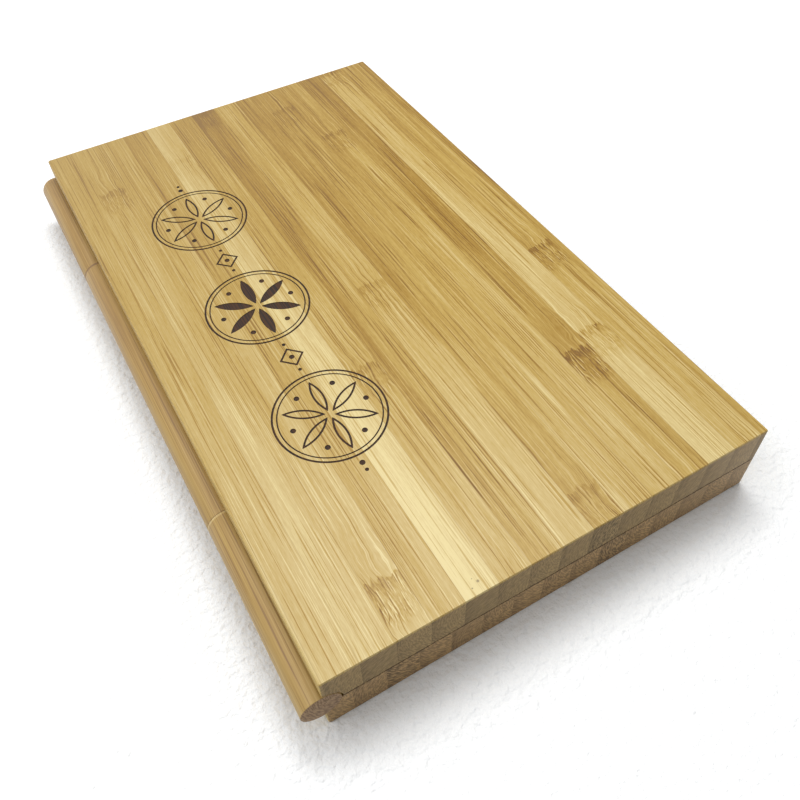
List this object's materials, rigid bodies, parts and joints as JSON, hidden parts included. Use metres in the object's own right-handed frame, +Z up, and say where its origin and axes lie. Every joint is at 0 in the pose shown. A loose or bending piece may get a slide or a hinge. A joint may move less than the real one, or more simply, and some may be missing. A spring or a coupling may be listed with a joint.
{
  "type": "watercolour palette box",
  "caption": "Flat hinged box of laminated bamboo boards on a wooden dowel hinge, milled inside for paint pans, a brush well and a mixing tray.",
  "frame": {"origin": "centre of the base's underside", "axes": "+Z up out of the lid; +Y along the hinge, from the front end to the rear end; +X from the hinge edge to the free edge that lifts"},
  "size_m": [0.1045, 0.17, 0.019],
  "materials": {
    "bamboo_board": "laminated bamboo, sanded and thinly oiled",
    "bamboo_dowel": "turned bamboo, sanded",
    "steel": "drawn steel wire",
    "nickel": "nickel plated",
    "tray_white": "glossy white",
    "pan_white": "glossy white",
    "paint_lemon": "dried watercolour paint",
    "paint_golden_yellow": "dried watercolour paint",
    "paint_orange": "dried watercolour paint",
    "paint_scarlet": "dried watercolour paint",
    "paint_crimson": "dried watercolour paint",
    "paint_rose": "dried watercolour paint",
    "paint_violet": "dried watercolour paint",
    "paint_ultramarine": "dried watercolour paint",
    "paint_sky_blue": "dried watercolour paint",
    "paint_turquoise": "dried watercolour paint",
    "paint_emerald": "dried watercolour paint",
    "paint_sap_green": "dried watercolour paint",
    "paint_ochre": "dried watercolour paint",
    "paint_sienna": "dried watercolour paint",
    "paint_umber": "dried watercolour paint",
    "paint_grey_black": "dried watercolour paint"
  },
  "bodies": {
    "base": {"base_panel": "bamboo_board", "hinge_knuckle_front": "bamboo_dowel", "hinge_knuckle_rear": "bamboo_dowel", "hinge_pin_front": "steel", "hinge_pin_rear": "steel", "base_magnet_front": "nickel", "base_magnet_rear": "nickel", "half_pan_01": "pan_white", "half_pan_02": "pan_white", "half_pan_03": "pan_white", "half_pan_04": "pan_white", "half_pan_05": "pan_white", "half_pan_06": "pan_white", "half_pan_07": "pan_white", "half_pan_08": "pan_white", "half_pan_09": "pan_white", "half_pan_10": "pan_white", "half_pan_11": "pan_white", "half_pan_12": "pan_white", "half_pan_13": "pan_white", "half_pan_14": "pan_white", "half_pan_15": "pan_white", "half_pan_16": "pan_white", "paint_cake_01": "paint_lemon", "paint_cake_02": "paint_golden_yellow", "paint_cake_03": "paint_orange", "paint_cake_04": "paint_scarlet", "paint_cake_05": "paint_crimson", "paint_cake_06": "paint_rose", "paint_cake_07": "paint_violet", "paint_cake_08": "paint_ultramarine", "paint_cake_09": "paint_sky_blue", "paint_cake_10": "paint_turquoise", "paint_cake_11": "paint_emerald", "paint_cake_12": "paint_sap_green", "paint_cake_13": "paint_ochre", "paint_cake_14": "paint_sienna", "paint_cake_15": "paint_umber", "paint_cake_16": "paint_grey_black"},
    "lid": {"lid_panel": "bamboo_board", "hinge_knuckle_middle": "bamboo_dowel", "lid_magnet_front": "nickel", "lid_magnet_rear": "nickel", "mixing_tray": "tray_white"}
  },
  "joints": [
    {"name": "lid_hinge", "type": "hinge", "parent": "base", "child": "lid", "pos_m": [-0.0505, 0, 0.00948], "axis": [0, -1, 0], "range_deg": [0, 180]}
  ]
}
